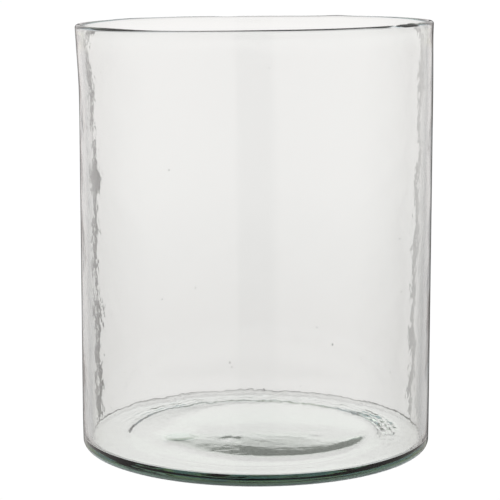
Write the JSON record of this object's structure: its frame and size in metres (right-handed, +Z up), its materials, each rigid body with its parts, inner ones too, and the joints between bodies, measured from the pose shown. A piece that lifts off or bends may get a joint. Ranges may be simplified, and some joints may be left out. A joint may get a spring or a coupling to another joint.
{
  "type": "cylinder vase",
  "caption": "Tall open hand-blown glass cylinder with a fire-polished rim, rounded heel and pushed-up base.",
  "frame": {"origin": "centre of the standing plane, on the vase's axis", "axes": "+Z up along the vase's axis; X and Y are level and interchangeable"},
  "size_m": [0.1804, 0.1804, 0.218],
  "materials": {
    "body_glass": "clear hand-blown glass with a faint green-grey tint, seeds and slight waviness"
  },
  "bodies": {
    "root": {"rim": "body_glass", "wall": "body_glass", "heel": "body_glass", "floor": "body_glass"}
  },
  "joints": []
}
